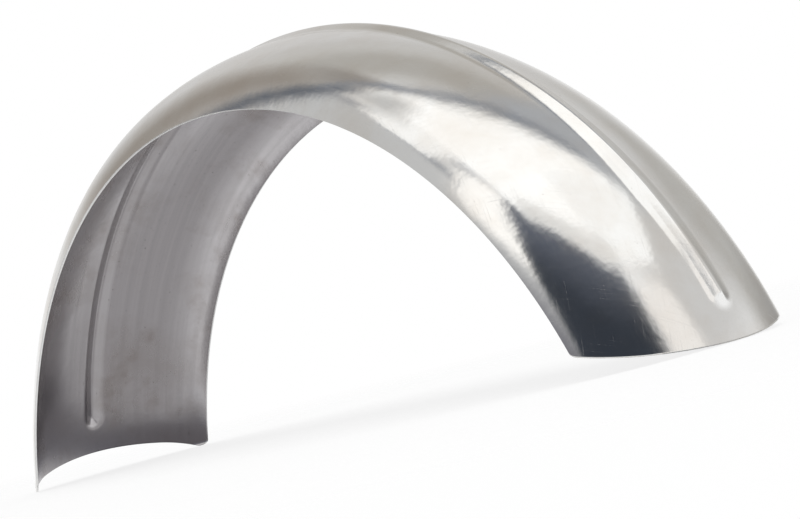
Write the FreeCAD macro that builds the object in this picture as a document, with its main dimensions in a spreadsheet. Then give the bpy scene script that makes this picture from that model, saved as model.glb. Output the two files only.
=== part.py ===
"""Motorcycle mudguard: one rolled aluminium sheet with a domed section and a raised centre bead.

The sheet bends round the wheel's axle, which lies along Y. In the body's own frame the axle is at the
origin and the middle of the guard is straight above it; the front end is towards +X. The finished guard
is then turned about the axle until it stands on its two ends, with the origin on the floor below its
middle.
"""
import FreeCAD, Part
import itertools
import math
import os
import Sketcher

NODE = "mudguard"

# Driving dimensions in millimetres and degrees: name, value, meaning
SIZES = [
    ("guard_width", "160", "across the two rims, outside"),
    ("crown_radius", "341.5", "axle to the outside of the crown, beside the bead"),
    ("section_depth", "41.8", "crown down to the rims"),
    ("crown_curve", "120", "radius of the section over the crown"),
    ("shoulder_curve", "53.5", "radius of the section over each shoulder"),
    ("sheet_gauge", "1.6", "thickness of the sheet"),
    ("arc_span", "146.9", "angle about the axle from end to end, along the crown"),
    ("front_lean", "30.8", "slope of the front cut: the rims stop short of the crown"),
    ("rear_lean", "10.5", "slope of the rear cut: the rims run past the crown"),
    ("corner_radius", "7", "rounding of the four corners of the sheet"),
    ("bead_width", "16.2", "centre bead, across its foot"),
    ("bead_height", "3.5", "centre bead, above the crown"),
    ("bead_foot", "1.2", "hollow radius along the foot of the bead"),
    ("bead_front_gap", "28", "front end of the crown to the full height of the bead"),
    ("bead_rear_gap", "28", "rear end of the crown to the full height of the bead"),
]

# Expressions that several features share
BEAD_TUBE = "(sizes.bead_width ^ 2 / 4 + sizes.bead_height ^ 2) / (2 * sizes.bead_height)"
BEAD_PATH = f"sizes.crown_radius + sizes.bead_height - {BEAD_TUBE}"
HALF_SPAN = "sizes.arc_span / 2"
BEAD_FRONT = f"{HALF_SPAN} - sizes.bead_front_gap / sizes.crown_radius * 180 / pi"
BEAD_REAR = f"{HALF_SPAN} - sizes.bead_rear_gap / sizes.crown_radius * 180 / pi"
RIM_RADIUS = "sizes.crown_radius - sizes.section_depth"

# Numbers by which a sketch names the points of a curve, its own origin and its upright axis
START, END, CENTRE = range(1, 4)
ORIGIN = (-1, 1)
RADIAL_LINE = -2

# A right angle in degrees, and the largest difference of lengths that count as equal
QUARTER_TURN = 90.0
MATCH = 1e-4


def add_sizes(doc):
    """Spreadsheet of the driving dimensions, each in a cell with its name as alias."""
    sheet = doc.addObject("Spreadsheet::Sheet", "sizes")
    for row, (alias, value, meaning) in enumerate(SIZES, start=1):
        sheet.set(f"A{row}", alias)
        sheet.set(f"B{row}", value)
        sheet.set(f"C{row}", meaning)
        sheet.setAlias(f"B{row}", alias)
    doc.recompute()
    return sheet


def origin_plane(body, role):
    """One of the body's own origin planes."""
    return next(item for item in body.Origin.OriginFeatures if item.Role == role)


def add_sketch(body, name, role):
    """Empty sketch on an origin plane of the body."""
    sketch = body.newObject("Sketcher::SketchObject", name)
    sketch.AttachmentSupport = [(origin_plane(body, role), "")]
    sketch.MapMode = "FlatFace"
    return sketch


def bind(sketch, constraint, name, expression):
    """Add a constraint, name it and bind it to the sheet."""
    index = sketch.addConstraint(constraint)
    sketch.renameConstraint(index, name)
    sketch.setExpression(f"Constraints.{name}", expression)


def section_shape(sizes):
    """Half angle of the crown arc, and the centre of the right shoulder arc that is tangent to it
    and ends on the rim."""
    crown_centre = sizes.crown_radius - sizes.crown_curve
    step = sizes.crown_curve - sizes.shoulder_curve
    rim_y = sizes.guard_width / 2
    rim_z = sizes.crown_radius - sizes.section_depth - crown_centre
    reach = math.hypot(rim_y, rim_z)
    cosine = (step ** 2 + reach ** 2 - sizes.shoulder_curve ** 2) / (2 * step * reach)
    half_angle = math.atan2(rim_y, rim_z) - math.acos(cosine)
    shoulder = FreeCAD.Vector(step * math.sin(half_angle), crown_centre + step * math.cos(half_angle), 0)
    return half_angle, shoulder


def draw_section(body, sizes, inset):
    """Domed section, closed by a line below the rims: a crown arc and two tangent shoulder arcs. It lies
    one inset inside the outside of the guard, whose rim is one shoulder radius from the shoulder's
    centre."""
    sketch = add_sketch(body, f"{body.Name}_section", "YZ_Plane")
    half_angle, shoulder = section_shape(sizes)
    gauge = getattr(sizes, inset) if inset else 0.0
    less = f"- sizes.{inset}" if inset else ""
    crown_radius = sizes.crown_curve - gauge
    shoulder_radius = sizes.shoulder_curve - gauge
    rim = FreeCAD.Vector(sizes.guard_width / 2, sizes.crown_radius - sizes.section_depth, 0)
    chord_angle = math.asin((rim.y - gauge - shoulder.y) / shoulder_radius)
    chord_end = FreeCAD.Vector(shoulder.x + shoulder_radius * math.cos(chord_angle), rim.y - gauge, 0)
    normal = FreeCAD.Vector(0, 0, 1)
    up = math.pi / 2
    crown_circle = Part.Circle(FreeCAD.Vector(0, sizes.crown_radius - sizes.crown_curve, 0),
                               normal, crown_radius)
    right_circle = Part.Circle(shoulder, normal, shoulder_radius)
    left_circle = Part.Circle(FreeCAD.Vector(-shoulder.x, shoulder.y, 0), normal, shoulder_radius)
    crown = sketch.addGeometry(Part.ArcOfCircle(crown_circle, up - half_angle, up + half_angle))
    right = sketch.addGeometry(Part.ArcOfCircle(right_circle, chord_angle, up - half_angle))
    left = sketch.addGeometry(Part.ArcOfCircle(left_circle, up + half_angle, math.pi - chord_angle))
    chord = sketch.addGeometry(Part.LineSegment(FreeCAD.Vector(-chord_end.x, chord_end.y, 0), chord_end))
    spoke = sketch.addGeometry(Part.LineSegment(shoulder, rim), True)
    sketch.addConstraint([
        Sketcher.Constraint("Tangent", right, END, crown, START),
        Sketcher.Constraint("Tangent", crown, END, left, START),
        Sketcher.Constraint("Coincident", left, END, chord, START),
        Sketcher.Constraint("Coincident", chord, END, right, START),
        Sketcher.Constraint("PointOnObject", crown, CENTRE, RADIAL_LINE),
        Sketcher.Constraint("Symmetric", chord, START, chord, END, RADIAL_LINE),
        Sketcher.Constraint("Equal", right, left),
        Sketcher.Constraint("Coincident", spoke, START, right, CENTRE),
    ])
    bind(sketch, Sketcher.Constraint("Radius", crown, crown_radius), "crown", f"sizes.crown_curve {less}")
    bind(sketch, Sketcher.Constraint("Radius", right, shoulder_radius), "shoulder",
         f"sizes.shoulder_curve {less}")
    bind(sketch, Sketcher.Constraint("DistanceY", *ORIGIN, chord, END, chord_end.y), "chord",
         f"{RIM_RADIUS} {less}")
    bind(sketch, Sketcher.Constraint("DistanceY", *ORIGIN, crown, CENTRE, crown_circle.Center.y),
         "crown_height", "sizes.crown_radius - sizes.crown_curve")
    bind(sketch, Sketcher.Constraint("DistanceX", *ORIGIN, spoke, END, rim.x), "half_width",
         "sizes.guard_width / 2")
    bind(sketch, Sketcher.Constraint("DistanceY", *ORIGIN, spoke, END, rim.y), "rim", RIM_RADIUS)
    bind(sketch, Sketcher.Constraint("Distance", spoke, sizes.shoulder_curve), "spoke",
         "sizes.shoulder_curve")
    return sketch


def add_dome(body, section, overrun):
    """Solid domed form, longer at both ends than the cuts need by a share of the section's depth."""
    dome = body.newObject("PartDesign::Revolution", f"{body.Name}_dome")
    dome.Profile = section
    dome.ReferenceAxis = (section, ["H_Axis"])
    dome.Midplane = True
    ends = f"2 * atan({overrun} * sizes.section_depth / ({RIM_RADIUS})) / 1 deg"
    dome.setExpression("Angle", f"sizes.arc_span + {ends}")


def bead_tube(sizes):
    """Radius of the tube whose top stands out of the crown as the bead."""
    return (sizes.bead_width ** 2 / 4 + sizes.bead_height ** 2) / (2 * sizes.bead_height)


def draw_bead_end(body, sizes, inset, name, angle, side, whole):
    """Round section of the bead where its full height ends, on the plane through the axle there: the
    whole circle, or the half of it on one side of the radial line."""
    sketch = add_sketch(body, f"{body.Name}_{name}", "YZ_Plane")
    sketch.AttachmentOffset = FreeCAD.Placement(
        FreeCAD.Vector(), FreeCAD.Rotation(FreeCAD.Vector(1, 0, 0), side * QUARTER_TURN / 2))
    sketch.setExpression("AttachmentOffset.Rotation.Angle", f"{side} * ({angle})")
    gauge = getattr(sizes, inset) if inset else 0.0
    less = f"- sizes.{inset}" if inset else ""
    radius = bead_tube(sizes) - gauge
    path = sizes.crown_radius + sizes.bead_height - bead_tube(sizes)
    circle = Part.Circle(FreeCAD.Vector(0, path, 0), FreeCAD.Vector(0, 0, 1), radius)
    if whole:
        curve = sketch.addGeometry(circle)
    else:
        curve = sketch.addGeometry(Part.ArcOfCircle(circle, -math.pi / 2, math.pi / 2))
        flat = sketch.addGeometry(Part.LineSegment(FreeCAD.Vector(0, path + radius, 0),
                                                   FreeCAD.Vector(0, path - radius, 0)))
        sketch.addConstraint([
            Sketcher.Constraint("Coincident", curve, END, flat, START),
            Sketcher.Constraint("Coincident", flat, END, curve, START),
            Sketcher.Constraint("PointOnObject", flat, START, RADIAL_LINE),
            Sketcher.Constraint("PointOnObject", flat, END, RADIAL_LINE),
        ])
    sketch.addConstraint(Sketcher.Constraint("PointOnObject", curve, CENTRE, RADIAL_LINE))
    bind(sketch, Sketcher.Constraint("Radius", curve, radius), "tube", f"{BEAD_TUBE} {less}")
    bind(sketch, Sketcher.Constraint("DistanceY", *ORIGIN, curve, CENTRE, path), "path", BEAD_PATH)
    return sketch


def turn_about(body, name, sketch, axis, reverse, angle):
    """Solid turned from a sketch about one of its own axes."""
    solid = body.newObject("PartDesign::Revolution", f"{body.Name}_{name}")
    solid.Profile = sketch
    solid.ReferenceAxis = (sketch, [axis])
    solid.Reversed = reverse
    solid.setExpression("Angle", angle)


def add_bead(body, sizes, inset):
    """Bead along the crown: a tube sunk in the dome, with half a ball of the same radius at each end."""
    ridge = draw_bead_end(body, sizes, inset, "bead_section", BEAD_FRONT, 1, True)
    turn_about(body, "ridge", ridge, "H_Axis", True, f"{BEAD_FRONT} + {BEAD_REAR}")
    for end, angle, side in (("front", BEAD_FRONT, 1), ("rear", BEAD_REAR, -1)):
        cap = draw_bead_end(body, sizes, inset, f"bead_{end}", angle, side, False)
        turn_about(body, f"cap_{end}", cap, "V_Axis", side > 0, f"2 * {QUARTER_TURN}")


def add_form(doc, name, sizes, inset, overrun):
    """Body with the dome and its bead, one inset inside the outside of the guard."""
    body = doc.addObject("PartDesign::Body", name)
    body.Label = name
    add_dome(body, draw_section(body, sizes, inset), overrun)
    add_bead(body, sizes, inset)
    return body


def hollow_out(body, core):
    """Leave only the sheet between the outside and the core, open below and at both ends."""
    hollow = body.newObject("PartDesign::Boolean", "hollow")
    hollow.Type = "Cut"
    hollow.setObjects([core])


def tube_radius(face):
    """Tube radius of a ring-shaped face or radius of a ball, and none for other faces."""
    if isinstance(face.Surface, Part.Toroid):
        return face.Surface.MinorRadius
    if isinstance(face.Surface, Part.Sphere):
        return face.Surface.Radius
    return None


def edges_between(shape, first, second):
    """Names of the edges where a round face of one tube radius meets one of the other."""
    wanted = sorted((first, second))
    names = []
    for index, edge in enumerate(shape.Edges, start=1):
        radii = [tube_radius(face) for face in shape.ancestorsOfType(edge, Part.Face)]
        if len(radii) != 2 or None in radii:
            continue
        if all(abs(found - radius) < MATCH for found, radius in zip(sorted(radii), wanted)):
            names.append(f"Edge{index}")
    return names


def round_bead_foot(doc, body, sizes, name, inset):
    """Hollow radius where one face of the bead rises from the crown, larger inside by the inset."""
    doc.recompute()
    base = body.Tip
    gauge = getattr(sizes, inset) if inset else 0.0
    foot = body.newObject("PartDesign::Fillet", name)
    foot.Base = (base, edges_between(base.Shape, bead_tube(sizes) - gauge, sizes.crown_curve - gauge))
    foot.setExpression("Radius", f"sizes.bead_foot + sizes.{inset}" if inset else "sizes.bead_foot")


def end_shape(sizes, side, lean):
    """Side view of one end: its crown tip, the directions along the cut and into the sheet, and the
    centre of its rounded corner, which lies one corner radius from the cut and from the rim."""
    half_span = math.radians(sizes.arc_span / 2)
    slope = half_span + math.radians(lean)
    tip = FreeCAD.Vector(side * math.sin(half_span), math.cos(half_span), 0) * sizes.crown_radius
    along_cut = FreeCAD.Vector(-side * math.sin(slope), -math.cos(slope), 0)
    into_sheet = FreeCAD.Vector(-side * math.cos(slope), math.sin(slope), 0)
    start = tip + into_sheet * sizes.corner_radius
    orbit = sizes.crown_radius - sizes.section_depth + sizes.corner_radius
    half_b = start.dot(along_cut)
    travel = -half_b - math.sqrt(half_b ** 2 - start.dot(start) + orbit ** 2)
    return tip, along_cut, into_sheet, start + along_cut * travel


def cut_end(body, sizes, name, side, lean, cut_angle):
    """Cut across one end: straight through the end of the crown, then round the corner to the rim.
    The outline of the waste goes on clear of the sheet."""
    sketch = add_sketch(body, f"{name}_line", "XZ_Plane")
    tip, along_cut, into_sheet, centre = end_shape(sizes, side, lean)
    radius = sizes.corner_radius
    rim_radius = sizes.crown_radius - sizes.section_depth
    clear = 2 * sizes.section_depth
    outside = tip - along_cut * clear
    on_cut = centre - into_sheet * radius
    on_rim = centre * (rim_radius / (rim_radius + radius))
    inside = on_rim * ((rim_radius - clear) / rim_radius)
    away = into_sheet * (2 * clear)
    origin = FreeCAD.Vector()
    normal = FreeCAD.Vector(0, 0, 1)
    middle = centre - (into_sheet - along_cut).normalize() * radius
    cut = sketch.addGeometry(Part.LineSegment(outside, on_cut))
    corner = sketch.addGeometry(Part.Arc(on_cut, middle, on_rim))
    drop = sketch.addGeometry(Part.LineSegment(on_rim, inside))
    low = sketch.addGeometry(Part.LineSegment(inside, inside - away))
    far = sketch.addGeometry(Part.LineSegment(inside - away, outside - away))
    high = sketch.addGeometry(Part.LineSegment(outside - away, outside))
    rim = sketch.addGeometry(Part.Circle(origin, normal, rim_radius), True)
    spoke = sketch.addGeometry(Part.LineSegment(origin, tip), True)
    first, last = (START, END) if side < 0 else (END, START)
    sketch.addConstraint([
        Sketcher.Constraint("Tangent", cut, END, corner, first),
        Sketcher.Constraint("Coincident", corner, last, drop, START),
        Sketcher.Constraint("Coincident", drop, END, low, START),
        Sketcher.Constraint("Coincident", low, END, far, START),
        Sketcher.Constraint("Coincident", far, END, high, START),
        Sketcher.Constraint("Coincident", high, END, cut, START),
        Sketcher.Constraint("Coincident", rim, CENTRE, *ORIGIN),
        Sketcher.Constraint("Tangent", corner, last, rim),
        Sketcher.Constraint("Coincident", spoke, START, *ORIGIN),
        Sketcher.Constraint("PointOnObject", spoke, END, cut),
        Sketcher.Constraint("PointOnObject", *ORIGIN, drop),
        Sketcher.Constraint("Perpendicular", high, cut),
        Sketcher.Constraint("Perpendicular", low, cut),
        Sketcher.Constraint("Parallel", far, cut),
    ])
    bind(sketch, Sketcher.Constraint("Radius", corner, radius), "corner", "sizes.corner_radius")
    bind(sketch, Sketcher.Constraint("Radius", rim, rim_radius), "rim", RIM_RADIUS)
    bind(sketch, Sketcher.Constraint("Distance", spoke, sizes.crown_radius), "crown", "sizes.crown_radius")
    bind(sketch, Sketcher.Constraint("Angle", spoke, math.atan2(tip.y, tip.x)), "end_angle",
         f"{QUARTER_TURN} - {side} * {HALF_SPAN}")
    bind(sketch, Sketcher.Constraint("Angle", cut, math.atan2(along_cut.y, along_cut.x)), "cut_angle",
         cut_angle)
    bind(sketch, Sketcher.Constraint("Distance", spoke, END, cut, START, clear), "outside",
         "2 * sizes.section_depth")
    bind(sketch, Sketcher.Constraint("Distance", drop, clear), "inside", "2 * sizes.section_depth")
    bind(sketch, Sketcher.Constraint("Distance", high, 2 * clear), "away", "4 * sizes.section_depth")
    pocket = body.newObject("PartDesign::Pocket", name)
    pocket.Profile = sketch
    pocket.SideType = "Symmetric"
    pocket.Type = "ThroughAll"


def standing_turn(sizes):
    """Angle from +X towards +Z that brings the lowest point of each end to one level."""
    supports = []
    for side, lean in ((1, sizes.front_lean), (-1, -sizes.rear_lean)):
        tip, _, _, corner = end_shape(sizes, side, lean)
        supports.append([(tip, 0.0), (corner, sizes.corner_radius)])
    front, rear = supports
    for (front_point, front_round), (rear_point, rear_round) in itertools.product(front, rear):
        base = front_point - rear_point
        turn = math.asin((front_round - rear_round) / base.Length) - math.atan2(base.y, base.x)
        heights = [point.x * math.sin(turn) + point.y * math.cos(turn) - radius
                   for point, radius in front + rear]
        floor = front_point.x * math.sin(turn) + front_point.y * math.cos(turn) - front_round
        if min(heights) > floor - MATCH:
            return math.degrees(turn)
    raise ValueError("the guard finds no stand on its two ends")


def stand_up(doc, body, sizes):
    """Turn the guard on to its two ends and bring the middle of its footprint to the origin."""
    turn = FreeCAD.Rotation(FreeCAD.Vector(0, -1, 0), standing_turn(sizes))
    body.Placement = FreeCAD.Placement(FreeCAD.Vector(), turn)
    doc.recompute()
    box = body.Shape.optimalBoundingBox(False, False)
    body.Placement.Base = FreeCAD.Vector(-box.Center.x, -box.Center.y, -box.ZMin)
    doc.recompute()


def check(doc, body):
    """Stop before anything is written if a feature failed or the sheet isn't one sound solid."""
    for item in doc.Objects:
        if "Invalid" in item.State or "Error" in item.State:
            raise RuntimeError(f"{item.Label} failed: {item.State}")
    shape = body.Shape
    if shape.isNull() or not shape.isValid() or len(shape.Solids) != 1:
        raise RuntimeError("the mudguard isn't one sound solid")


def main():
    doc = FreeCAD.newDocument("mudguard_model")
    sizes = add_sizes(doc)
    body = add_form(doc, NODE, sizes, None, 1)
    core = add_form(doc, "core", sizes, "sheet_gauge", 2)
    hollow_out(body, core)
    round_bead_foot(doc, body, sizes, "outer_foot", None)
    round_bead_foot(doc, body, sizes, "inner_foot", "sheet_gauge")
    cut_end(body, sizes, "front_cut", 1, sizes.front_lean, f"270 - {HALF_SPAN} - sizes.front_lean")
    cut_end(body, sizes, "rear_cut", -1, -sizes.rear_lean, f"{HALF_SPAN} - sizes.rear_lean - 90")
    doc.recompute()
    check(doc, body)
    stand_up(doc, body, sizes)
    box = body.Shape.optimalBoundingBox(False, False)
    print("volume", round(body.Shape.Volume, 1), "area", round(body.Shape.Area, 1))
    print("low", box.XMin, box.YMin, box.ZMin, "high", box.XMax, box.YMax, box.ZMax)
    os.makedirs("parts", exist_ok=True)
    body.Shape.exportStep(f"parts/{body.Label}.step")


main()
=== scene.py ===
"""Motorcycle mudguard blank: a rolled, hand polished aluminium sheet with a raised centre bead.

The sheet is one grid worked out from the guard's own sizes: arc length across the section and angle
round the wheel's axle. The stage is a pale floor, a white surround, and studio flats that are seen only
in the reflections.
"""

import math

import bpy
import numpy as np
from mathutils import Euler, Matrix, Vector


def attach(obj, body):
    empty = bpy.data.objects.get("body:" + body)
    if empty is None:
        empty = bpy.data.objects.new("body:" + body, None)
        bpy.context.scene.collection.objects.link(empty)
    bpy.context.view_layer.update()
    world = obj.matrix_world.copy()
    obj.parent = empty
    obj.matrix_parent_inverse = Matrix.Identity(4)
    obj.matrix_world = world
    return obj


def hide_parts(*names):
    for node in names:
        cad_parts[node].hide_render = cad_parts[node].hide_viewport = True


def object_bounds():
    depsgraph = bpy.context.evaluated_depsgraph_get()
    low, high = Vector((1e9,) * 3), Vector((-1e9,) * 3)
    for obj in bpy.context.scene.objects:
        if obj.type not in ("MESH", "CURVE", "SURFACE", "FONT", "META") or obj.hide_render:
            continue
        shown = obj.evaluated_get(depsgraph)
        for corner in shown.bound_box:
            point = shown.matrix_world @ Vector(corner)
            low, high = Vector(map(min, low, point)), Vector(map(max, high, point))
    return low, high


bl_info = {
    "name": "Mudguard Blank",
    "version": (1, 0, 0),
    "blender": (4, 5, 0),
    "location": "3D View > Sidebar > Mudguard",
    "description": "Builds a polished aluminium mudguard blank and its studio stage",
    "category": "Object",
}

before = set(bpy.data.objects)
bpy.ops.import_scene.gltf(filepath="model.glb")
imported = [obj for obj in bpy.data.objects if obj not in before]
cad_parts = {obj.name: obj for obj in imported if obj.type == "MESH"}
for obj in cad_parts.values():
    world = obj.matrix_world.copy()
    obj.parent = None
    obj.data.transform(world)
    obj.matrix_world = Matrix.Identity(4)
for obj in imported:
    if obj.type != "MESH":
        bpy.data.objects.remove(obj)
CAD_LOW, CAD_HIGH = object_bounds()

NODE = "mudguard"
UV_LAYER = "Sheet"
MM = 0.001
WHITE = (1.0, 1.0, 1.0)

# Numbers of the sheet's materials
OUTSIDE, INSIDE, EDGE = range(3)


# Sizes and colours that a user would change

class GuardSizes(bpy.types.PropertyGroup):
    """Sizes of the pressed sheet."""
    crown_radius: bpy.props.FloatProperty(
        name="Crown radius", description="Axle to the outside of the crown, beside the bead",
        default=341.5 * MM, unit="LENGTH")
    guard_width: bpy.props.FloatProperty(
        name="Width", description="Across the two rims, outside", default=160.0 * MM, unit="LENGTH")
    section_depth: bpy.props.FloatProperty(
        name="Depth", description="Crown down to the rims", default=41.8 * MM, unit="LENGTH")
    crown_curve: bpy.props.FloatProperty(
        name="Crown curve", description="Radius of the section over the crown",
        default=120.0 * MM, unit="LENGTH")
    shoulder_curve: bpy.props.FloatProperty(
        name="Shoulder curve", description="Radius of the section over each shoulder",
        default=53.5 * MM, unit="LENGTH")
    sheet_gauge: bpy.props.FloatProperty(
        name="Sheet gauge", description="Thickness of the sheet", default=1.6 * MM, unit="LENGTH")
    arc_span: bpy.props.FloatProperty(
        name="Arc span", description="Angle about the axle from end to end, along the crown",
        default=math.radians(146.9), unit="ROTATION")
    front_lean: bpy.props.FloatProperty(
        name="Front lean", description="Slope of the front cut: the rims stop short of the crown",
        default=math.radians(30.8), unit="ROTATION")
    rear_lean: bpy.props.FloatProperty(
        name="Rear lean", description="Slope of the rear cut: the rims run past the crown",
        default=math.radians(10.5), unit="ROTATION")
    corner_radius: bpy.props.FloatProperty(
        name="Corner radius", description="Rounding of the four corners of the sheet",
        default=7.0 * MM, unit="LENGTH")
    bead_width: bpy.props.FloatProperty(
        name="Bead width", description="Centre bead, across its foot", default=16.2 * MM, unit="LENGTH")
    bead_height: bpy.props.FloatProperty(
        name="Bead height", description="Centre bead, above the crown, over the middle and the rear",
        default=3.5 * MM, unit="LENGTH")
    bead_front_height: bpy.props.FloatProperty(
        name="Bead front height", description="Centre bead, above the crown at its front end",
        default=2.9 * MM, unit="LENGTH")
    bead_low_length: bpy.props.FloatProperty(
        name="Bead low length", description="Front end of the crown to where the bead starts to rise",
        default=80.0 * MM, unit="LENGTH")
    bead_rise_length: bpy.props.FloatProperty(
        name="Bead rise", description="Length along the crown over which the bead rises",
        default=150.0 * MM, unit="LENGTH")
    bead_crest: bpy.props.FloatProperty(
        name="Bead crest", description="Radius of the rounded crest of the bead",
        default=4.0 * MM, unit="LENGTH")
    bead_foot: bpy.props.FloatProperty(
        name="Bead foot", description="Height over which the foot of the bead is hollowed",
        default=1.2 * MM, unit="LENGTH")
    bead_front_gap: bpy.props.FloatProperty(
        name="Front gap", description="Front end of the crown to the front end of the bead's crest",
        default=28.0 * MM, unit="LENGTH")
    bead_rear_gap: bpy.props.FloatProperty(
        name="Rear gap", description="Rear end of the crown to the rear end of the bead's crest",
        default=28.0 * MM, unit="LENGTH")
    edge_break: bpy.props.FloatProperty(
        name="Edge break", description="How far the cut edges are rounded over",
        default=0.25 * MM, unit="LENGTH")


class GuardFinish(bpy.types.PropertyGroup):
    """Colours and unevenness of the sheet."""
    polish_colour: bpy.props.FloatVectorProperty(
        name="Polished", description="Colour of the polished outside",
        default=(0.86, 0.86, 0.85), subtype="COLOR", size=3, min=0.0, max=1.0)
    tarnish_colour: bpy.props.FloatVectorProperty(
        name="Tarnish", description="Colour of the cloudy, faintly brown patches outside",
        default=(0.79, 0.765, 0.73), subtype="COLOR", size=3, min=0.0, max=1.0)
    dull_colour: bpy.props.FloatVectorProperty(
        name="Dull", description="Colour of the unpolished inside",
        default=(0.52, 0.505, 0.515), subtype="COLOR", size=3, min=0.0, max=1.0)
    stain_colour: bpy.props.FloatVectorProperty(
        name="Stain", description="Colour of the brown stains inside",
        default=(0.34, 0.305, 0.29), subtype="COLOR", size=3, min=0.0, max=1.0)
    edge_colour: bpy.props.FloatVectorProperty(
        name="Cut edge", description="Colour of the freshly cut edge",
        default=(0.9, 0.9, 0.89), subtype="COLOR", size=3, min=0.0, max=1.0)
    ripple_height: bpy.props.FloatProperty(
        name="Ripple", description="Height of the slight ripple of the sheet",
        default=0.25 * MM, unit="LENGTH")


class StageSettings(bpy.types.PropertyGroup):
    """Camera and studio."""
    camera_place: bpy.props.FloatVectorProperty(
        name="Camera", description="Place of the camera", default=(0.9808, -0.8021, 0.0499),
        subtype="XYZ", unit="LENGTH", size=3)
    camera_heading: bpy.props.FloatProperty(
        name="Heading", description="Turn of the view to the left of +Y",
        default=math.radians(48.36), unit="ROTATION")
    camera_pitch: bpy.props.FloatProperty(
        name="Pitch", description="View above the horizon", default=math.radians(2.033), unit="ROTATION")
    camera_roll: bpy.props.FloatProperty(
        name="Roll", description="Camera turned clockwise about the view",
        default=math.radians(14.439), unit="ROTATION")
    camera_lens: bpy.props.FloatProperty(
        name="Lens", description="Focal length in millimetres on a 36 mm wide frame", default=86.47)
    studio_radius: bpy.props.FloatProperty(
        name="Studio radius", description="Distance of the studio flats from the guard",
        default=30.0, unit="LENGTH")
    floor_colour: bpy.props.FloatVectorProperty(
        name="Floor", description="Colour of the floor under the guard",
        default=(0.9, 0.9, 0.9), subtype="COLOR", size=3, min=0.0, max=1.0)
    floor_roughness: bpy.props.FloatProperty(
        name="Floor roughness", description="Roughness of the floor", default=0.9, min=0.0, max=1.0)
    floor_glow: bpy.props.FloatProperty(
        name="Floor glow", description="Share of plain white light in the floor",
        default=0.8, min=0.0, max=1.0)
    floor_near: bpy.props.FloatProperty(
        name="Floor near", description="Distance from the origin where the floor starts to fade to white",
        default=0.4, unit="LENGTH")
    floor_far: bpy.props.FloatProperty(
        name="Floor far", description="Distance from the origin where the floor has faded to white",
        default=0.95, unit="LENGTH")
    room_light: bpy.props.FloatProperty(
        name="Room light", description="Strength of the even light from all sides", default=0.6, min=0.0)
    lamp_place: bpy.props.FloatVectorProperty(
        name="Lamp", description="Place of the lamp", default=(0.3, -0.2, 2.2),
        subtype="XYZ", unit="LENGTH", size=3)
    lamp_size: bpy.props.FloatVectorProperty(
        name="Lamp size", description="Length of the lamp along X and along Y",
        default=(2.4, 1.8), unit="LENGTH", size=2)
    lamp_power: bpy.props.FloatProperty(
        name="Lamp power", description="Power of the lamp in watts", default=30.0, min=0.0)


# Geometry of the sheet

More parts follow.
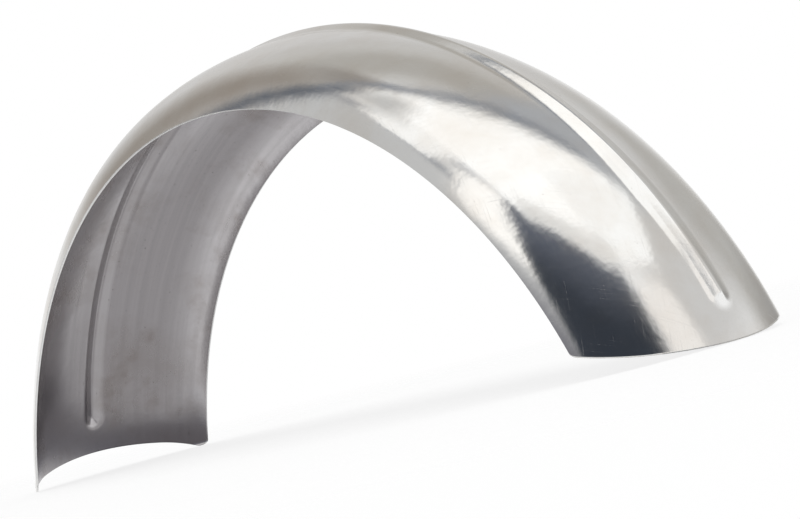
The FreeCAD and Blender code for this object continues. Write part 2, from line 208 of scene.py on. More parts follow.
class SheetForm:
    """Places on the sheet in the standing frame, as functions of the arc length across the section and
    the angle about the axle, which is counted from the middle of the guard towards the front."""

    def __init__(self, sizes):
        self.sizes = sizes
        self.half_span = sizes.arc_span / 2
        self.rim_radius = sizes.crown_radius - sizes.section_depth
        self.crown_angle, self.shoulder_y, self.shoulder_drop = self.shoulder()
        rim_rise = self.shoulder_drop - sizes.section_depth
        self.rim_angle = math.atan2(sizes.guard_width / 2 - self.shoulder_y, rim_rise)
        self.crown_length = sizes.crown_curve * self.crown_angle
        self.half_length = self.crown_length + sizes.shoulder_curve * (self.rim_angle - self.crown_angle)
        self.turn = self.standing_turn()
        front_tip = self.half_span - self.turn
        self.axle = np.array([CAD_HIGH.x - sizes.crown_radius * math.sin(front_tip), 0.0,
                              CAD_HIGH.z - sizes.crown_radius - sizes.bead_height])

    def shoulder(self):
        """Half angle of the crown arc and the centre of the shoulder arc: the centre lies on the crown
        arc's radius, and one shoulder radius from the rim."""
        sizes = self.sizes
        step = sizes.crown_curve - sizes.shoulder_curve
        rim_y = sizes.guard_width / 2
        rim_rise = sizes.crown_curve - sizes.section_depth
        reach = math.hypot(rim_y, rim_rise)
        cosine = (step ** 2 + reach ** 2 - sizes.shoulder_curve ** 2) / (2 * step * reach)
        angle = math.atan2(rim_y, rim_rise) - math.acos(cosine)
        return angle, step * math.sin(angle), sizes.crown_curve - step * math.cos(angle)

    def end_points(self, side):
        """Side view of one end, with the front on side 1: crown tip, direction along the cut, centre of
        the rounded corner, one corner radius from the cut and from the rim, and the distance from the
        axle at which the rounding starts."""
        sizes = self.sizes
        lean = sizes.front_lean if side > 0 else -sizes.rear_lean
        slope = self.half_span + lean
        tip = np.array([side * math.sin(self.half_span), math.cos(self.half_span)]) * sizes.crown_radius
        along = np.array([-side * math.sin(slope), -math.cos(slope)])
        inward = np.array([-side * math.cos(slope), math.sin(slope)])
        start = tip + inward * sizes.corner_radius
        orbit = self.rim_radius + sizes.corner_radius
        half_b = start @ along
        travel = -half_b - math.sqrt(half_b ** 2 - start @ start + orbit ** 2)
        return tip, along, start + along * travel, np.linalg.norm(tip + along * travel)

    def standing_turn(self):
        """Turn from +X towards +Z that brings the front tip and the rear corners to one level."""
        tip = self.end_points(1)[0]
        corner = self.end_points(-1)[2]
        base = tip - corner
        return math.asin(-self.sizes.corner_radius / np.hypot(*base)) - math.atan2(base[1], base[0])

    def section(self, arc):
        """Point and slope of the section: over the crown a circle, past it a tangent smaller circle.
        Gives the distance across, the drop below the crown and the angle of the outward normal."""
        sizes = self.sizes
        length = np.abs(arc)
        over_crown = length < self.crown_length
        angle = np.where(over_crown, length / sizes.crown_curve,
                         self.crown_angle + (length - self.crown_length) / sizes.shoulder_curve)
        across = np.where(over_crown, sizes.crown_curve * np.sin(angle),
                          self.shoulder_y + sizes.shoulder_curve * np.sin(angle))
        drop = np.where(over_crown, sizes.crown_curve * (1 - np.cos(angle)),
                        self.shoulder_drop - sizes.shoulder_curve * np.cos(angle))
        return np.sign(arc) * across, drop, np.sign(arc) * angle

    def end_angle(self, radius, side):
        """Angle about the axle where the sheet ends at each radius: on the straight cut, and below it
        on the round of the corner."""
        tip, along, corner, round_start = self.end_points(side)
        half_b = tip @ along
        travel = -half_b - np.sqrt(np.maximum(half_b ** 2 - tip @ tip + radius ** 2, 0))
        on_cut = tip[:, None] + along[:, None] * travel
        cut_angle = np.arctan2(on_cut[0], on_cut[1])
        orbit = np.hypot(*corner)
        cosine = (radius ** 2 + orbit ** 2 - self.sizes.corner_radius ** 2) / (2 * radius * orbit)
        round_angle = np.arctan2(*corner) + side * np.arccos(np.clip(cosine, -1, 1))
        return np.where(radius > round_start, cut_angle, round_angle)

    def bead(self, across, along):
        """Height of the bead above the crown: a round crest with a straight flank on each side, tangent
        to it, and the same profile turned about each end. The bead is lower towards the front. A smooth
        maximum with the crown hollows its foot."""
        sizes = self.sizes
        tip = self.half_span * sizes.crown_radius
        front = tip - sizes.bead_front_gap
        rear = tip - sizes.bead_rear_gap
        past = np.maximum(np.maximum(along - front, -along - rear), 0)
        away = np.hypot(across, past)
        risen = np.clip((tip - along - sizes.bead_low_length) / sizes.bead_rise_length, 0, 1)
        top = sizes.bead_front_height + (sizes.bead_height - sizes.bead_front_height) * risen
        half_width = sizes.bead_width / 2
        crest_floor = top - sizes.bead_crest
        flank = np.arctan2(crest_floor, half_width) \
            + np.arcsin(sizes.bead_crest / np.hypot(half_width, crest_floor))
        on_crest = away < sizes.bead_crest * np.sin(flank)
        crest = crest_floor + np.sqrt(np.maximum(sizes.bead_crest ** 2 - away ** 2, 0))
        height = np.where(on_crest, crest, (half_width - away) * np.tan(flank))
        soft = sizes.bead_foot
        blend = np.maximum(soft - np.abs(height), 0) / soft
        return np.maximum(height, 0) + blend ** 2 * soft / 4

    def surface(self, arc, share, depth):
        """Grid of points: arc across the section, share from the rear cut to the front cut, at a depth
        below the outside along its normal. The bead lifts both faces of the sheet alike."""
        across, drop, slope = self.section(arc)
        across = across - depth * np.sin(slope)
        radius = self.sizes.crown_radius - drop - depth * np.cos(slope)
        trim = self.sizes.edge_break / radius
        rear = self.end_angle(np.maximum(radius, self.rim_radius), -1) + trim
        front = self.end_angle(np.maximum(radius, self.rim_radius), 1) - trim
        angle = rear + (front - rear) * share[:, None]
        lift = self.bead(arc, angle * self.sizes.crown_radius)
        across = across + lift * np.sin(slope)
        radius = radius + lift * np.cos(slope)
        stand = angle - self.turn
        points = np.stack([self.axle[0] + radius * np.sin(stand),
                           np.broadcast_to(across, stand.shape),
                           self.axle[2] + radius * np.cos(stand)], axis=-1)
        return points, angle


# Points of the sheet's grid on each stretch of half the section and of the way along
BEAD_POINTS = 27
SHOULDER_POINTS = 19
CORNER_POINTS = 17
END_POINTS = 66
MIDDLE_POINTS = 170

# Stretches with close points: shares of the bead's width, the corner's radius and the way along
BEAD_STRETCH = 0.8
CORNER_STRETCH = 1.6
END_STRETCH = 0.07

# Steps across the cut edge as shares of the gauge, and the power of the oval that rounds it over
EDGE_STEPS = np.array([0.06, 0.2, 0.5, 0.8, 0.94])
EDGE_POWER = 4


def across_stations(form):
    """Arc lengths across the section: close together over the bead and towards the rims."""
    sizes = form.sizes
    edge = form.half_length - sizes.edge_break
    bead_edge = sizes.bead_width * BEAD_STRETCH
    corner = sizes.corner_radius * CORNER_STRETCH
    over_bead = np.linspace(0, bead_edge, BEAD_POINTS)
    over_shoulder = np.linspace(bead_edge, edge - corner, SHOULDER_POINTS)[1:]
    to_rim = edge - corner * np.linspace(1, 0, CORNER_POINTS)[1:] ** 2
    half = np.concatenate([over_bead, over_shoulder, to_rim])
    return np.concatenate([-half[:0:-1], half])


def along_stations():
    """Shares of the way from the rear cut to the front cut, close together at both ends of the bead."""
    near_end = np.linspace(0, END_STRETCH, END_POINTS)
    middle = np.linspace(END_STRETCH, 1 - END_STRETCH, MIDDLE_POINTS)[1:-1]
    return np.concatenate([near_end, middle, 1 - near_end[::-1]])


def grid_faces(rows, columns, first):
    """Quads of a grid whose vertices are numbered row by row from first."""
    index = np.arange(rows * columns).reshape(rows, columns) + first
    quads = [index[:-1, :-1], index[:-1, 1:], index[1:, 1:], index[1:, :-1]]
    return np.stack(quads, axis=-1).reshape(-1, 4)


def rim_loop(rows, columns):
    """Vertex numbers once round the edge of a grid."""
    index = np.arange(rows * columns).reshape(rows, columns)
    return np.concatenate([index[0, :-1], index[:-1, -1], index[-1, :0:-1], index[:0:-1, 0]])


def edge_band(outer, inner, bulge):
    """Rows of points that round over the cut edge from the outside to the inside: each point steps
    across the sheet and out along the edge's own outward direction, on a flattened half oval."""
    across_sheet = inner - outer
    tangent = np.roll(outer, -1, axis=0) - np.roll(outer, 1, axis=0)
    outward = np.cross(across_sheet, tangent)
    outward /= np.linalg.norm(outward, axis=-1, keepdims=True)
    rise = (1 - np.abs(2 * EDGE_STEPS - 1) ** EDGE_POWER) ** (1 / EDGE_POWER)
    return [outer + across_sheet * step + outward * bulge * lift
            for step, lift in zip(EDGE_STEPS, rise)]


def sheet_arrays(form):
    """Points, quads, material numbers and UV places of the sheet: the grid of the outside, the same grid
    for the inside, and the strips round the cut edge that join them."""
    arc = across_stations(form)
    share = along_stations()
    rows, columns = len(share), len(arc)
    count = rows * columns
    outer, angle = form.surface(arc, share, 0.0)
    inner, _ = form.surface(arc, share, form.sizes.sheet_gauge)
    outer = outer.reshape(-1, 3)
    inner = inner.reshape(-1, 3)
    loop = rim_loop(rows, columns)
    band = edge_band(outer[loop], inner[loop], form.sizes.edge_break)
    strips = [loop] + [2 * count + len(loop) * row + np.arange(len(loop)) for row in range(len(band))]
    strips.append(loop + count)
    outside = grid_faces(rows, columns, 0)
    inside = grid_faces(rows, columns, count)[:, ::-1]
    edges = np.concatenate([np.stack([low, high, np.roll(high, -1), np.roll(low, -1)], axis=-1)
                            for low, high in zip(strips[:-1], strips[1:])])
    kinds = np.repeat([OUTSIDE, INSIDE, EDGE], [len(outside), len(inside), len(edges)])
    grid_uv = np.stack([np.broadcast_to(arc, angle.shape), angle * form.sizes.crown_radius], axis=-1)
    grid_uv = grid_uv.reshape(-1, 2)
    points = np.concatenate([outer, inner] + band)
    faces = np.concatenate([outside, inside, edges])
    uv = np.concatenate([grid_uv, grid_uv] + [grid_uv[loop]] * len(band))
    return points, faces, kinds, uv


def add_mesh(name, points, faces, kinds, uv):
    """Mesh object at the origin from arrays of points and quads, with a material number for each face
    and a UV place for each vertex."""
    mesh = bpy.data.meshes.new(name)
    mesh.vertices.add(len(points))
    mesh.vertices.foreach_set("co", points.astype(np.float32).ravel())
    mesh.loops.add(faces.size)
    mesh.loops.foreach_set("vertex_index", faces.astype(np.int32).ravel())
    mesh.polygons.add(len(faces))
    mesh.polygons.foreach_set("loop_start", np.arange(0, faces.size, 4, dtype=np.int32))
    mesh.polygons.foreach_set("material_index", kinds.astype(np.int32))
    mesh.polygons.foreach_set("use_smooth", np.ones(len(faces), dtype=bool))
    layer = mesh.uv_layers.new(name=UV_LAYER)
    layer.data.foreach_set("uv", uv[faces.ravel()].astype(np.float32).ravel())
    mesh.update(calc_edges=True)
    mesh.validate()
    piece = bpy.data.objects.new(name, mesh)
    bpy.context.scene.collection.objects.link(piece)
    return piece


# Shader nodes

def feed(tree, socket, value):
    """Give a socket its value: a link from another socket, a plain colour or a plain number."""
    if isinstance(value, bpy.types.NodeSocket):
        tree.links.new(value, socket)
    elif socket.type == "RGBA":
        socket.default_value = (*value, 1.0)
    else:
        socket.default_value = value


def add_node(tree, kind, **values):
    """Node with values on its named sockets."""
    node = tree.nodes.new(kind)
    for socket, value in values.items():
        feed(tree, node.inputs[socket], value)
    return node


def new_group(name, given, result):
    """Node group with named numbers as inputs and one number as output, and its two end nodes."""
    group = bpy.data.node_groups.new(name, "ShaderNodeTree")
    for socket in given:
        group.interface.new_socket(socket, in_out="INPUT", socket_type="NodeSocketFloat")
    group.interface.new_socket(result, in_out="OUTPUT", socket_type="NodeSocketFloat")
    return group, group.nodes.new("NodeGroupInput"), group.nodes.new("NodeGroupOutput")


def place_group(tree, group, **values):
    """Output of a group node with its own values."""
    node = tree.nodes.new("ShaderNodeGroup")
    node.node_tree = group
    for socket, value in values.items():
        node.inputs[socket].default_value = value
    return node.outputs[0]


def remap(tree, source, low, high, to_low=0.0, to_high=1.0):
    """Linear remap of a value, held inside its limits."""
    ramp = tree.nodes.new("ShaderNodeMapRange")
    for socket, value in (("From Min", low), ("From Max", high), ("To Min", to_low), ("To Max", to_high)):
        ramp.inputs[socket].default_value = value
    tree.links.new(source, ramp.inputs["Value"])
    return ramp.outputs["Result"]


def combine(tree, operation, first, second):
    """Arithmetic on two values; each is a plain number or a socket."""
    node = tree.nodes.new("ShaderNodeMath")
    node.operation = operation
    feed(tree, node.inputs[0], first)
    feed(tree, node.inputs[1], second)
    return node.outputs["Value"]


def scaled(tree, source, factor):
    """A value times a plain number."""
    return combine(tree, "MULTIPLY", source, factor)


def shaded(colour, share):
    """A colour dimmed to a share of itself."""
    return tuple(channel * share for channel in colour)


def mix_colour(tree, factor, first, second):
    """Blend from one colour to another; each is a plain colour or a socket."""
    mix = tree.nodes.new("ShaderNodeMix")
    mix.data_type = "RGBA"
    tree.links.new(factor, mix.inputs["Factor"])
    for name, value in (("A", first), ("B", second)):
        target = next(item for item in mix.inputs if item.name == name and item.type == "RGBA")
        feed(tree, target, value)
    return next(item for item in mix.outputs if item.type == "RGBA")


def mix_shaders(tree, factor, first, second):
    """Blend from one shader to another; the factor is a plain number or a socket."""
    mix = tree.nodes.new("ShaderNodeMixShader")
    for socket, value in zip(mix.inputs, (factor, first, second)):
        feed(tree, socket, value)
    return mix.outputs["Shader"]


# Materials of the sheet

def new_material(name):
    """Node material with a metal shader."""
    material = bpy.data.materials.new(name)
    material.use_nodes = True
    tree = material.node_tree
    shader = tree.nodes["Principled BSDF"]
    shader.inputs["Metallic"].default_value = 1.0
    return material, tree, shader


def hair_lines_group():
    """Hair lines on the sheet, from its UV in metres: noise stretched along one direction, which is
    turned from the roll by an angle."""
    group, inputs, outputs = new_group("Hair lines", ("Angle", "Across", "Along", "Seed"), "Lines")
    place = group.nodes.new("ShaderNodeUVMap")
    place.uv_map = UV_LAYER
    turn = group.nodes.new("ShaderNodeVectorRotate")
    turn.rotation_type = "Z_AXIS"
    group.links.new(place.outputs["UV"], turn.inputs["Vector"])
    group.links.new(inputs.outputs["Angle"], turn.inputs["Angle"])
    stretch = group.nodes.new("ShaderNodeCombineXYZ")
    group.links.new(inputs.outputs["Across"], stretch.inputs["X"])
    group.links.new(inputs.outputs["Along"], stretch.inputs["Y"])
    stretched = group.nodes.new("ShaderNodeVectorMath")
    stretched.operation = "MULTIPLY"
    group.links.new(turn.outputs["Vector"], stretched.inputs[0])
    group.links.new(stretch.outputs["Vector"], stretched.inputs[1])
    seed = group.nodes.new("ShaderNodeCombineXYZ")
    group.links.new(inputs.outputs["Seed"], seed.inputs["Z"])
    shift = group.nodes.new("ShaderNodeVectorMath")
    shift.operation = "ADD"
    group.links.new(stretched.outputs["Vector"], shift.inputs[0])
    group.links.new(seed.outputs["Vector"], shift.inputs[1])
    noise = add_node(group, "ShaderNodeTexNoise", Scale=1.0, Detail=4.0, Roughness=0.6)
    group.links.new(shift.outputs["Vector"], noise.inputs["Vector"])
    group.links.new(noise.outputs["Fac"], outputs.inputs["Lines"])
    return group


def cloud_group():
    """Soft blotches from Object coordinates, sharpened between two levels."""
    group, inputs, outputs = new_group("Blotches", ("Scale", "Low", "High"), "Mask")
    place = group.nodes.new("ShaderNodeTexCoord")
    noise = add_node(group, "ShaderNodeTexNoise", Detail=5.0, Roughness=0.6)
    ramp = group.nodes.new("ShaderNodeMapRange")
    group.links.new(place.outputs["Object"], noise.inputs["Vector"])
    group.links.new(inputs.outputs["Scale"], noise.inputs["Scale"])
    group.links.new(noise.outputs["Fac"], ramp.inputs["Value"])
    group.links.new(inputs.outputs["Low"], ramp.inputs["From Min"])
    group.links.new(inputs.outputs["High"], ramp.inputs["From Max"])
    group.links.new(ramp.outputs["Result"], outputs.inputs["Mask"])
    return group


def dents(tree, height, distance, shader):
    """Bump of a height on the shader."""
    bump = add_node(tree, "ShaderNodeBump", Strength=1.0, Distance=distance)
    tree.links.new(height, bump.inputs["Height"])
    tree.links.new(bump.outputs["Normal"], shader.inputs["Normal"])


def polished_outside(finish, lines, blotches):
    """Hand polished aluminium: a soft mirror with fine scratches, cloudy buffing and a slight ripple."""
    material, tree, shader = new_material("Polished outside")
    rolled = place_group(tree, lines, Angle=0.0, Across=1400.0, Along=25.0, Seed=1.0)
    buffed = place_group(tree, lines, Angle=0.9, Across=1900.0, Along=28.0, Seed=4.0)
    crossed = place_group(tree, lines, Angle=-0.35, Across=2600.0, Along=30.0, Seed=9.0)
    clouds = place_group(tree, blotches, Scale=22.0, Low=0.4, High=0.68)
    specks = place_group(tree, blotches, Scale=520.0, Low=0.7, High=0.76)
    ripple = place_group(tree, blotches, Scale=14.0, Low=0.2, High=0.8)
    scratches = combine(tree, "ADD", remap(tree, buffed, low=0.62, high=0.8),
                        remap(tree, crossed, low=0.6, high=0.8))
    faint = remap(tree, scratches, low=0.0, high=1.0, to_high=0.6)
    clouded = mix_colour(tree, clouds, finish.polish_colour, finish.tarnish_colour)
    scratched = mix_colour(tree, faint, clouded, shaded(finish.polish_colour, share=0.8))
    specked = mix_colour(tree, specks, scratched, finish.stain_colour)
    tree.links.new(specked, shader.inputs["Base Color"])
    grain = combine(tree, "ADD", rolled, scaled(tree, scratches, factor=0.5))
    cloudy = combine(tree, "ADD", grain, scaled(tree, clouds, factor=0.3))
    soft_mirror = remap(tree, cloudy, low=0.3, high=1.2, to_low=0.1, to_high=0.19)
    roughness = combine(tree, "ADD", soft_mirror, scaled(tree, scratches, factor=0.2))
    tree.links.new(roughness, shader.inputs["Roughness"])
    height = combine(tree, "ADD", scaled(tree, grain, factor=0.02), ripple)
    dents(tree, height, finish.ripple_height, shader)
    return material


def dull_inside(finish, lines, blotches):
    """Unpolished inside: grey and faintly streaky along the roll, with brown stains and specks."""
    material, tree, shader = new_material("Dull inside")
    rolled = place_group(tree, lines, Angle=0.0, Across=220.0, Along=4.0, Seed=7.0)
    stains = place_group(tree, blotches, Scale=13.0, Low=0.45, High=0.72)
    smears = place_group(tree, blotches, Scale=48.0, Low=0.5, High=0.66)
    specks = place_group(tree, blotches, Scale=420.0, Low=0.66, High=0.74)
    ripple = place_group(tree, blotches, Scale=14.0, Low=0.2, High=0.8)
    streaks = remap(tree, rolled, low=0.35, high=0.65)
    marks = combine(tree, "MULTIPLY", smears, stains)
    streaked = mix_colour(tree, streaks, finish.dull_colour, shaded(finish.dull_colour, share=0.92))
    stained = mix_colour(tree, scaled(tree, stains, factor=0.5), streaked, finish.stain_colour)
    smeared = mix_colour(tree, marks, stained, finish.stain_colour)
    specked = mix_colour(tree, specks, smeared, shaded(finish.stain_colour, share=0.6))
    tree.links.new(specked, shader.inputs["Base Color"])
    patchy = combine(tree, "ADD", rolled, stains)
    roughness = remap(tree, patchy, low=0.3, high=1.4, to_low=0.19, to_high=0.32)
    tree.links.new(roughness, shader.inputs["Roughness"])
    height = combine(tree, "ADD", scaled(tree, rolled, factor=0.02), ripple)
    dents(tree, height, finish.ripple_height, shader)
    return material


def cut_edge(finish, lines):
    """Sheared and filed edge of the sheet."""
    material, tree, shader = new_material("Cut edge")
    filed = place_group(tree, lines, Angle=0.3, Across=700.0, Along=700.0, Seed=3.0)
    colour = mix_colour(tree, filed, finish.edge_colour, shaded(finish.edge_colour, share=0.7))
    tree.links.new(colour, shader.inputs["Base Color"])
    roughness = remap(tree, filed, low=0.3, high=0.7, to_low=0.3, to_high=0.45)
    tree.links.new(roughness, shader.inputs["Roughness"])
    return material


class MUDGUARD_OT_sheet(bpy.types.Operator):
    """Build the rolled sheet with its bead, cut edges and finishes"""
    bl_idname = "mudguard.sheet"
    bl_label = "Rolled Sheet"

    def execute(self, context):
        scene = context.scene
        piece = add_mesh("mudguard_sheet", *sheet_arrays(SheetForm(scene.guard_sizes)))
        lines = hair_lines_group()
        blotches = cloud_group()
        for material in (polished_outside(scene.guard_finish, lines, blotches),
                         dull_inside(scene.guard_finish, lines, blotches),
                         cut_edge(scene.guard_finish, lines)):
            piece.data.materials.append(material)
        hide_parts(NODE)
        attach(piece, "root")
        return {"FINISHED"}


# Stage: floor, surround, studio flats, lamp and camera

def add_floor(settings):
    """Pale square floor under the guard, which fades into the white surround with the distance from the
    origin."""
    half = settings.floor_far
    corners = [(-half, -half, 0), (half, -half, 0), (half, half, 0), (-half, half, 0)]
    mesh = bpy.data.meshes.new("floor")
    mesh.from_pydata(corners, [], [(0, 1, 2, 3)])
    floor = bpy.data.objects.new("floor", mesh)
    bpy.context.scene.collection.objects.link(floor)
    material = bpy.data.materials.new("Pale floor")
    material.use_nodes = True
    tree = material.node_tree
    shade = tree.nodes["Principled BSDF"]
    feed(tree, shade.inputs["Base Color"], settings.floor_colour)
    feed(tree, shade.inputs["Roughness"], settings.floor_roughness)
    light = add_node(tree, "ShaderNodeEmission", Color=WHITE, Strength=1.0)
    pale = mix_shaders(tree, settings.floor_glow, shade.outputs["BSDF"], light.outputs["Emission"])
    place = tree.nodes.new("ShaderNodeTexCoord")
    reach = tree.nodes.new("ShaderNodeVectorMath")
    reach.operation = "LENGTH"
    tree.links.new(place.outputs["Object"], reach.inputs[0])
    fade = remap(tree, reach.outputs["Value"], low=settings.floor_near, high=settings.floor_far)
    clear = tree.nodes.new("ShaderNodeBsdfTransparent")
    faded = mix_shaders(tree, fade, pale, clear.outputs["BSDF"])
    tree.links.new(faded, tree.nodes["Material Output"].inputs["Surface"])
    mesh.materials.append(material)


# Studio flats, from the furthest to the nearest: name, the azimuths from -Y towards +X and the
# elevations of the four corners, colour, and the softness of the edges along and up
FLATS = [
    ("wall_back", ((100, 4), (320, 4), (320, 60), (100, 60)), (0.66, 0.65, 0.64), (0.06, 0.3)),
    ("wall_far_side", ((158, -8), (212, -8), (212, 34), (158, 34)), (0.5, 0.49, 0.47), (0.3, 0.2)),
    ("wall_far_low", ((160, -10), (204, -10), (204, 14), (160, 14)), (0.3, 0.29, 0.28), (0.3, 0.5)),
    ("ceiling", ((100, 36), (325, 36), (325, 90), (100, 90)), (0.47, 0.45, 0.42), (0.05, 0.4)),
    ("ceiling_right", ((140, 36), (185, 36), (185, 75), (140, 75)), (0.43, 0.44, 0.46), (0.2, 0.3)),
    ("ceiling_left", ((242, 58), (308, 58), (308, 84), (242, 84)), (0.33, 0.305, 0.28), (0.3, 0.4)),
    ("wall_side", ((250, 12), (314, 12), (314, 68), (250, 68)), (0.34, 0.31, 0.28), (0.42, 0.2)),
    ("wall_left", ((-54, 4), (12, 4), (12, 62), (-54, 62)), (0.58, 0.58, 0.58), (0.1, 0.1)),
    ("wall_low", ((-50, -12), (14, -12), (14, 26), (-50, 26)), (0.2, 0.2, 0.225), (0.2, 0.35)),
    ("dark_room", ((2, -14), (98, -14), (98, 56), (2, 56)), (0.035, 0.042, 0.056), (0.07, 0.1)),
    ("dark_room_top", ((0, 30), (99, 30), (99, 62), (0, 62)), (0.12, 0.135, 0.175), (0.06, 0.6)),
    ("dark_corner", ((-64, 20), (-54, 20), (-38, 74), (-66, 74)), (0.09, 0.105, 0.135), (0.45, 0.12)),
]

# Light panels with straight edges, and the dark surrounds behind them: as above
PANELS = [
    ("surround_back", ((-50, 56), (-58, 58), (157, 50), (143, 48)), (0.22, 0.24, 0.275), (0.4, 0.1)),
    ("surround_left", ((-60, 58), (-3, 32), (6, 40), (-52, 65)), (0.26, 0.275, 0.31), (0.3, 0.4)),
    ("panel_rim", ((-17, 25), (5, 23), (35, 56), (8, 55)), (1.2, 1.17, 1.13), (0.12, 0.2)),
    ("panel_right", ((95, 15), (119, 15), (117, 35), (96, 39)), (1.0, 0.97, 0.94), (0.12, 0.1)),
    ("panel_overhead", ((30, 48), (92, 40), (148, 43), (-47, 58)), (1.2, 1.19, 1.17), (0.08, 0.11)),
    ("panel_corner", ((92, 41), (119, 36), (148, 43), (105, 65)), (1.1, 1.095, 1.08), (0.06, 0.06)),
    ("panel_left", ((-34, 55), (-13, 44), (12, 57), (-20, 70)), (1.1, 1.09, 1.07), (0.08, 0.08)),
    ("panel_low", ((28, 46), (103, 38), (103, 48), (40, 57)), (0.84, 0.825, 0.8), (0.1, 0.35)),
    ("panel_tip", ((-48, 55), (-12, 54), (10, 86), (-80, 86)), (0.58, 0.575, 0.565), (0.35, 0.35)),
]

# Grey cards low over the floor, seen only in the inside of the sheet. The arch card makes the reflected
# floor greyer under the arch. The two dark cards are painted shade: the floor's shadow near where the rear
# of the sheet rests, darkening the inside's reflections towards the rear end. Columns: name, the low and
# high corners in metres along X and Y, colour, and the softness of the edges along X and Y
CARDS = [
    ("card_arch", (-0.29, -0.1), (0.05, 0.2), (0.5, 0.49, 0.495), (0.08, 0.4)),
    # The next two cards are painted shade: the floor's shadow near the rear of the sheet, seen in the
    # inside
    ("shade_card_rear", (-0.6, -0.04), (-0.272, 0.45), (0.22, 0.22, 0.245), (0.05, 0.12)),
    ("shade_card_end", (-0.45, 0.0), (-0.266, 0.14), (0.18, 0.17, 0.18), (0.1, 0.3)),
]

# Points along each side of a flat, distance of each as a share of the last one's, and step between cards
FLAT_POINTS = 41
FLAT_NESTING = 0.98
CARD_LIFT = 1.0 * MM


def directions(turn, rise):
    """Unit vectors from azimuths, counted from -Y towards +X, and elevations in degrees."""
    turn = np.radians(turn)
    rise = np.radians(rise)
    return np.stack(np.broadcast_arrays(np.cos(rise) * np.sin(turn), -np.cos(rise) * np.cos(turn),
                                        np.sin(rise)), axis=-1)


def between_corners(corners, steps):
    """Grid between four corners, low left, low right, high right and high left: a straight blend along
    and up."""
    low_left, low_right, high_right, high_left = (np.asarray(corner, dtype=float) for corner in corners)
    along = steps[None, :, None]
    up = steps[:, None, None]
    return (low_left * (1 - along) + low_right * along) * (1 - up) \
        + (high_left * (1 - along) + high_right * along) * up


def flat_material(name, colour, softness):
    """Plain light of one colour that fades out at the four edges of the UV square."""
    material = bpy.data.materials.new(name)
    material.use_nodes = True
    tree = material.node_tree
    tree.nodes.remove(tree.nodes["Principled BSDF"])
    place = tree.nodes.new("ShaderNodeUVMap")
    place.uv_map = UV_LAYER
    split = tree.nodes.new("ShaderNodeSeparateXYZ")
    tree.links.new(place.outputs["UV"], split.inputs["Vector"])
    fades = []
    for axis, soft in zip("XY", softness):
        near = remap(tree, split.outputs[axis], low=0.0, high=soft)
        far = remap(tree, split.outputs[axis], low=1.0 - soft, high=1.0, to_low=1.0, to_high=0.0)
        fades.append(combine(tree, "MULTIPLY", near, far))
    clear = tree.nodes.new("ShaderNodeBsdfTransparent")
    glow = add_node(tree, "ShaderNodeEmission", Color=colour, Strength=1.0)
    solid = combine(tree, "MULTIPLY", *fades)
    soft_edged = mix_shaders(tree, solid, clear.outputs["BSDF"], glow.outputs["Emission"])
    tree.links.new(soft_edged, tree.nodes["Material Output"].inputs["Surface"])
    return material


def add_flat(name, points, colour, softness):
    """Studio flat from a square grid of points, seen only in reflections."""
    rows = len(points)
    steps = np.linspace(0, 1, rows)
    uv = np.stack(np.broadcast_arrays(steps[None, :], steps[:, None]), axis=-1).reshape(-1, 2)
    faces = grid_faces(rows, rows, 0)
    flat = add_mesh(name, points.reshape(-1, 3), faces, np.zeros(len(faces)), uv)
    flat.data.materials.append(flat_material(name, colour, softness))
    flat.visible_camera = False
    flat.visible_diffuse = False
    flat.visible_shadow = False


def add_studio(settings):
    """Walls are patches of a sphere about the guard, even in azimuth and elevation. Panels are blends of
    four corner directions, so that their edges look straight. Each is a little nearer than the last.
    Cards are level rectangles, each a little higher than the last; the two dark ones are painted shade of
    the floor, seen only in the reflections."""
    steps = np.linspace(0, 1, FLAT_POINTS)
    radius = settings.studio_radius
    for name, corners, colour, softness in FLATS:
        grid = between_corners(corners, steps)
        add_flat(name, directions(grid[..., 0], grid[..., 1]) * radius, colour, softness)
        radius *= FLAT_NESTING
    for name, corners, colour, softness in PANELS:
        grid = between_corners([directions(*corner) for corner in corners], steps)
        grid /= np.linalg.norm(grid, axis=-1, keepdims=True)
        add_flat(name, grid * radius, colour, softness)
        radius *= FLAT_NESTING
    for step, (name, low, high, colour, softness) in enumerate(CARDS, start=1):
        lift = step * CARD_LIFT
        corners = ((*low, lift), (high[0], low[1], lift), (*high, lift), (low[0], high[1], lift))
        add_flat(name, between_corners(corners, steps), colour, softness)


def set_world(settings):
    """White surround for the camera, for reflections and through clear parts, and an even pale light for
    the rest."""
    world = bpy.context.scene.world or bpy.data.worlds.new("Surround")
    bpy.context.scene.world = world
    world.use_nodes = True
    tree = world.node_tree
    tree.nodes.clear()
    path = tree.nodes.new("ShaderNodeLightPath")
    seen = combine(tree, "MAXIMUM", path.outputs["Is Camera Ray"], path.outputs["Is Glossy Ray"])
    shown = combine(tree, "MAXIMUM", seen, path.outputs["Is Transmission Ray"])
    room = add_node(tree, "ShaderNodeBackground", Color=WHITE, Strength=settings.room_light)
    white = add_node(tree, "ShaderNodeBackground", Color=WHITE, Strength=1.0)
    surround = mix_shaders(tree, shown, room.outputs["Background"], white.outputs["Background"])
    out = tree.nodes.new("ShaderNodeOutputWorld")
    tree.links.new(surround, out.inputs["Surface"])


def add_lamp(settings):
    """Large soft lamp high above the guard."""
    lamp = bpy.data.lights.new("overhead", "AREA")
    lamp.shape = "RECTANGLE"
    lamp.size, lamp.size_y = settings.lamp_size
    lamp.energy = settings.lamp_power
    holder = bpy.data.objects.new("overhead", lamp)
    holder.location = settings.lamp_place
    holder.visible_glossy = False
    bpy.context.scene.collection.objects.link(holder)


# Width of the camera's frame in millimetres, and its nearest and furthest view in metres
FRAME_WIDTH = 36.0
CLIP_NEAR = 0.05
CLIP_FAR = 100.0


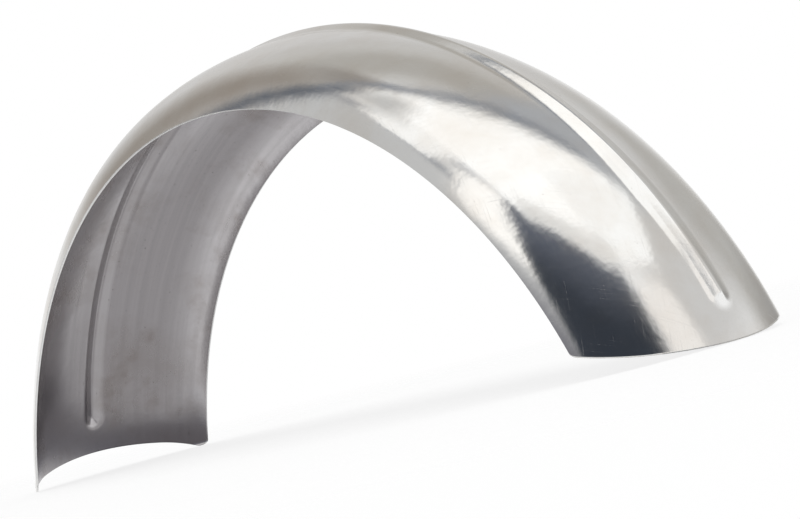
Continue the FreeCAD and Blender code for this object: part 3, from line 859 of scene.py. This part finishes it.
def add_camera(settings):
    """Camera at its place, turned by heading, pitch and roll."""
    data = bpy.data.cameras.new("camera")
    data.sensor_width = FRAME_WIDTH
    data.lens = settings.camera_lens
    data.clip_start = CLIP_NEAR
    data.clip_end = CLIP_FAR
    camera = bpy.data.objects.new("camera", data)
    aim = Euler((math.pi / 2 + settings.camera_pitch, 0.0, settings.camera_heading)).to_matrix()
    roll = Euler((0.0, 0.0, -settings.camera_roll)).to_matrix()
    camera.matrix_world = (aim @ roll).to_4x4()
    camera.location = settings.camera_place
    bpy.context.scene.collection.objects.link(camera)
    bpy.context.scene.camera = camera


class MUDGUARD_OT_stage(bpy.types.Operator):
    """Build the floor, the surround, the studio flats, the lamp and the camera"""
    bl_idname = "mudguard.stage"
    bl_label = "Studio Stage"

    def execute(self, context):
        settings = context.scene.guard_stage
        context.scene.view_settings.view_transform = "Standard"
        add_floor(settings)
        add_studio(settings)
        set_world(settings)
        add_lamp(settings)
        add_camera(settings)
        return {"FINISHED"}


class MUDGUARD_PT_panel(bpy.types.Panel):
    """Buttons for the guard and its stage"""
    bl_idname = "MUDGUARD_PT_panel"
    bl_label = "Mudguard"
    bl_space_type = "VIEW_3D"
    bl_region_type = "UI"
    bl_category = "Mudguard"

    def draw(self, context):
        for group in (context.scene.guard_sizes, context.scene.guard_finish, context.scene.guard_stage):
            for name in group.__annotations__:
                self.layout.prop(group, name)
        self.layout.operator(MUDGUARD_OT_sheet.bl_idname)
        self.layout.operator(MUDGUARD_OT_stage.bl_idname)


CLASSES = (GuardSizes, GuardFinish, StageSettings, MUDGUARD_OT_sheet, MUDGUARD_OT_stage, MUDGUARD_PT_panel)


def register():
    for item in CLASSES:
        bpy.utils.register_class(item)
    bpy.types.Scene.guard_sizes = bpy.props.PointerProperty(type=GuardSizes)
    bpy.types.Scene.guard_finish = bpy.props.PointerProperty(type=GuardFinish)
    bpy.types.Scene.guard_stage = bpy.props.PointerProperty(type=StageSettings)


def unregister():
    del bpy.types.Scene.guard_stage
    del bpy.types.Scene.guard_finish
    del bpy.types.Scene.guard_sizes
    for item in reversed(CLASSES):
        bpy.utils.unregister_class(item)


def main():
    register()
    bpy.ops.mudguard.sheet()
    bpy.ops.mudguard.stage()


if __name__ == "__main__":
    main()
